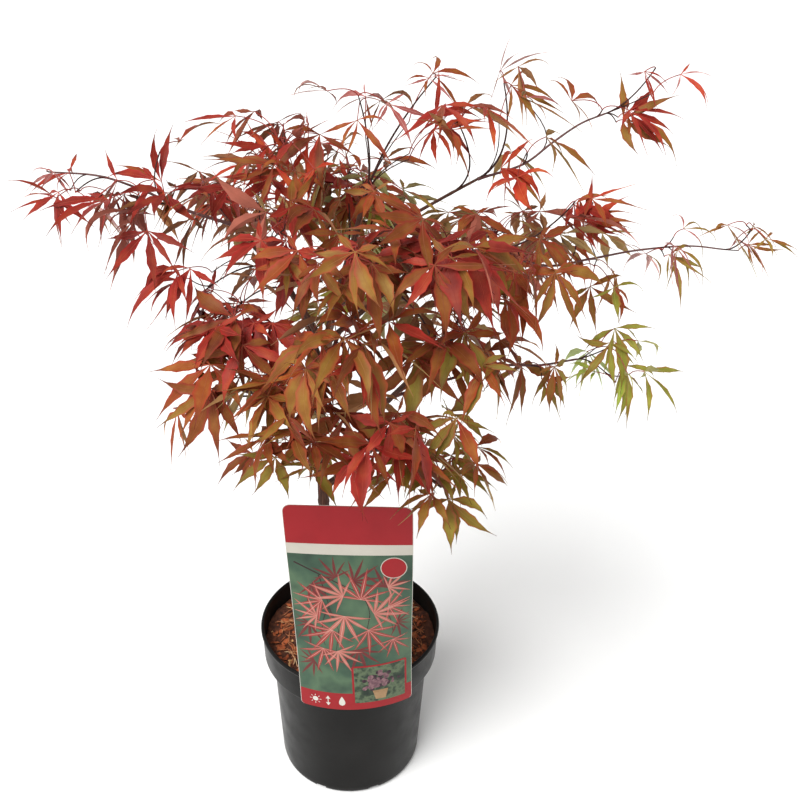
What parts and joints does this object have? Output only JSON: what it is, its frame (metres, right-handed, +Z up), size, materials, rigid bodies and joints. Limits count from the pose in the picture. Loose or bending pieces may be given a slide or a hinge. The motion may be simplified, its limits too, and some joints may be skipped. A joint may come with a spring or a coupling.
{
  "type": "potted japanese maple",
  "caption": "Young red-leaved Japanese maple with deeply cut drooping leaves, in a round black nursery pot with a hanging plant label.",
  "frame": {"origin": "centre of the pot's flat underside, on the floor", "axes": "+Z up the pot's axis, -Y towards the side that carries the plant label, +X to the right seen from there"},
  "size_m": [0.6739, 0.37, 0.7546],
  "materials": {
    "pot": "moulded black polypropylene with a soft sheen",
    "potting_mix": "coarse bark and fibre mix, matte and slightly damp",
    "label": "printed plastic card with a satin varnish, red with a green field",
    "bark": "young grey-brown bark, matte with fine lengthwise ridges",
    "young_shoot": "thin red-brown one-year wood, smooth",
    "leaf_crimson": "thin satin leaf, dark crimson",
    "leaf_scarlet": "thin satin leaf, scarlet",
    "leaf_rust": "thin satin leaf, rust orange",
    "leaf_copper": "thin satin leaf, copper brown",
    "leaf_olive": "thin satin leaf, olive bronze",
    "leaf_green": "thin satin leaf, yellow green"
  },
  "bodies": {
    "root": {"bough_back": "bark", "bough_back_left": "bark", "bough_back_right": "bark", "bough_crest_right": "bark", "bough_foot": "bark", "bough_foot_left": "bark", "bough_fork": "bark", "bough_front_low": "bark", "bough_left": "bark", "bough_left_low": "bark", "bough_right": "bark", "mass_back_centre": "leaf_copper", "mass_back_high": "leaf_rust", "mass_back_left": "leaf_copper", "mass_back_low": "leaf_olive", "mass_back_right": "leaf_copper", "mass_crest_left": "leaf_crimson", "mass_crest_right": "leaf_rust", "mass_far_right": "leaf_olive", "mass_far_right_tip": "leaf_green", "mass_foot_front": "leaf_olive", "mass_foot_left": "leaf_olive", "mass_front_centre": "leaf_rust", "mass_front_centre_low": "leaf_copper", "mass_front_left": "leaf_rust", "mass_front_left_low": "leaf_copper", "mass_front_low": "leaf_rust", "mass_front_low_right": "leaf_olive", "mass_front_right": "leaf_scarlet", "mass_green_low": "leaf_green", "mass_green_tip": "leaf_green", "mass_heart_high": "leaf_crimson", "mass_heart_right": "leaf_copper", "mass_left_fringe": "leaf_rust", "mass_left_inner": "leaf_scarlet", "mass_left_low": "leaf_rust", "mass_left_low_tip": "leaf_copper", "mass_left_mid": "leaf_crimson", "mass_left_outer": "leaf_scarlet", "mass_left_shoulder": "leaf_rust", "mass_left_tip": "leaf_crimson", "mass_left_upper": "leaf_crimson", "mass_right_crest": "leaf_scarlet", "mass_right_inner": "leaf_rust", "mass_right_low_tip": "leaf_olive", "mass_right_under": "leaf_olive", "mass_top_arch": "leaf_crimson", "mass_top_left": "leaf_crimson", "mass_top_mid": "leaf_scarlet", "mass_top_right": "leaf_scarlet", "mass_upper_right": "leaf_scarlet", "mass_upper_right_tip": "leaf_crimson", "plant_label": "label", "pot": "pot", "potting_mix": "potting_mix", "shoot_far_right": "young_shoot", "shoot_left": "young_shoot", "shoot_low_right": "young_shoot", "shoot_upper_right": "young_shoot", "trunk": "bark"}
  },
  "joints": []
}
